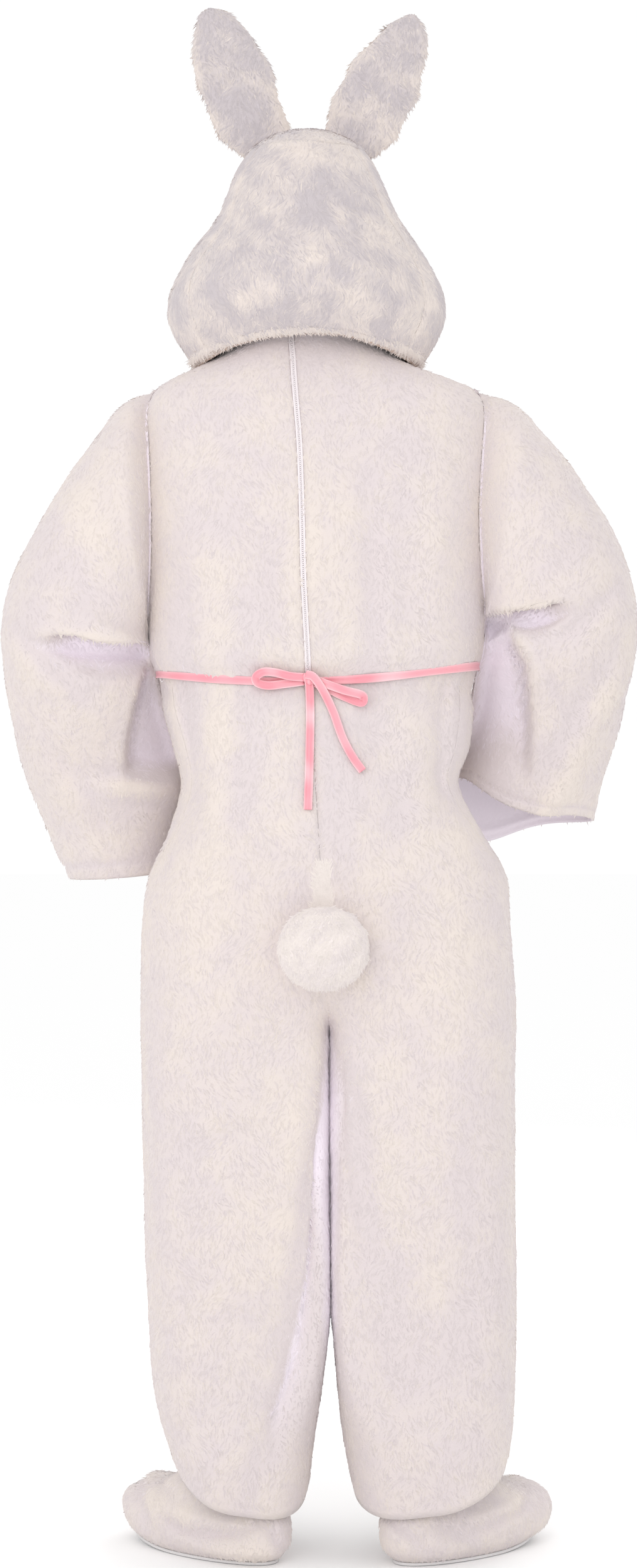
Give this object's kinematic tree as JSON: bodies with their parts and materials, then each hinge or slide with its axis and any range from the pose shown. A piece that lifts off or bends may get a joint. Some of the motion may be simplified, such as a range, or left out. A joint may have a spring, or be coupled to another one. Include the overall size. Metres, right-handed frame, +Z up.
{
  "type": "rabbit mascot costume",
  "caption": "White plush one-piece rabbit mascot costume with hollow sleeves, legs, foot covers and head, back zip, satin ribbon belt and pompom tail.",
  "frame": {"origin": "middle of the neck at the height of the wearer's shoulders, 1.5 m above the soles", "axes": "+Z up, +Y towards the wearer's back, +X towards the wearer's left"},
  "size_m": [0.7786, 0.4429, 1.9],
  "materials": {
    "plush": "short-pile white plush",
    "felt": "plain felt sole",
    "satin": "pink satin ribbon",
    "zip": "white coil zip",
    "metal": "plain zip slider and pull tab",
    "eye": "glossy black dome",
    "nose": "pink short-pile pad"
  },
  "bodies": {
    "suit": {"suit_back_left": "plush", "suit_back_right": "plush", "suit_front_left": "plush", "suit_front_right": "plush", "sleeve_left": "plush", "sleeve_right": "plush", "foot_cover_left": "plush", "foot_cover_right": "plush", "head_back": "plush", "head_cheek_left": "plush", "head_cheek_right": "plush", "head_face": "plush", "head_crown": "plush", "muzzle": "plush", "ear_left": "plush", "ear_right": "plush", "tail_pompom": "plush", "foot_sole_left": "felt", "foot_sole_right": "felt", "ribbon_belt": "satin", "ribbon_knot": "satin", "ribbon_loop_left": "satin", "ribbon_loop_right": "satin", "ribbon_tail_long": "satin", "ribbon_tail_short": "satin", "zip_tape_left": "zip", "zip_tape_right": "zip", "zip_slider": "metal", "eye_left": "eye", "eye_right": "eye", "nose": "nose"},
    "pull_tab": {"zip_pull_tab": "metal"}
  },
  "joints": [
    {"name": "pull_tab_hinge", "type": "hinge", "parent": "suit", "child": "pull_tab", "pos_m": [0.0345, 0.0673, 0.0135], "axis": [1, 0, 0], "range_deg": [0, 150]}
  ]
}
